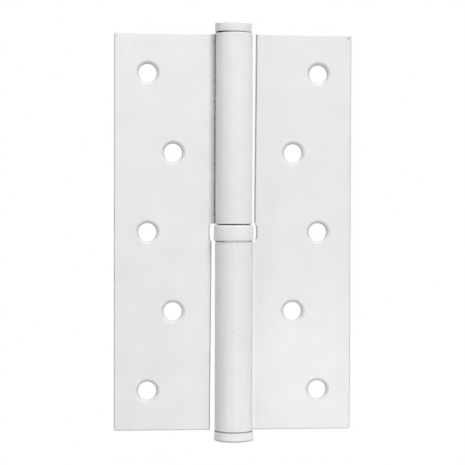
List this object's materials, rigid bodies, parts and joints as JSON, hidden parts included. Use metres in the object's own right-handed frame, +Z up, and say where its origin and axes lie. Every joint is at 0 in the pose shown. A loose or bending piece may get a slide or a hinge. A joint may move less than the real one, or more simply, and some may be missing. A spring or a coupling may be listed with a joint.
{
  "type": "lift-off hinge",
  "caption": "White coated steel lift-off hinge, opened flat: two folded leaves with countersunk holes, a pin, a ball bearing ring and end caps.",
  "frame": {"origin": "on the pin's axis, at the middle of the hinge's height", "axes": "+Z up along the pin, +X from the pin towards the frame leaf's outer edge, -Y towards whoever faces the countersunk side of the open hinge"},
  "size_m": [0.075, 0.0126, 0.131],
  "materials": {
    "leaf_paint": "white powder coat, satin",
    "cap_paint": "white powder coat, satin",
    "ring_paint": "white powder coat, satin",
    "pin_steel": "drawn steel, lightly greased",
    "race_steel": "turned steel",
    "ball_steel": "polished steel",
    "cage_plastic": "plain nylon"
  },
  "bodies": {
    "frame_side": {"frame_leaf": "leaf_paint", "hinge_pin": "pin_steel", "bottom_cap": "cap_paint", "bearing_shell": "ring_paint", "lower_race": "race_steel"},
    "turning_race": {"upper_race": "race_steel"},
    "door_side": {"door_leaf": "leaf_paint", "top_cap": "cap_paint"},
    "ball_train": {"ball_cage": "cage_plastic", "bearing_ball_01": "ball_steel", "bearing_ball_02": "ball_steel", "bearing_ball_03": "ball_steel", "bearing_ball_04": "ball_steel", "bearing_ball_05": "ball_steel", "bearing_ball_06": "ball_steel", "bearing_ball_07": "ball_steel", "bearing_ball_08": "ball_steel", "bearing_ball_09": "ball_steel", "bearing_ball_10": "ball_steel", "bearing_ball_11": "ball_steel", "bearing_ball_12": "ball_steel"}
  },
  "joints": [
    {"name": "swing", "type": "hinge", "parent": "frame_side", "child": "turning_race", "pos_m": [0, 0, 0], "axis": [0, 0, 1], "range_deg": [-115, 180]},
    {"name": "lift_off", "type": "slide", "parent": "turning_race", "child": "door_side", "axis": [0, 0, 1], "range_m": [0, 0.06]},
    {"name": "ball_orbit", "type": "hinge", "parent": "frame_side", "child": "ball_train", "pos_m": [0, 0, 0], "axis": [0, 0, 1], "range_deg": [-57.5, 90]}
  ],
  "couplings": [
    {"joint": "ball_orbit", "follows": "swing", "ratio": 0.5}
  ]
}
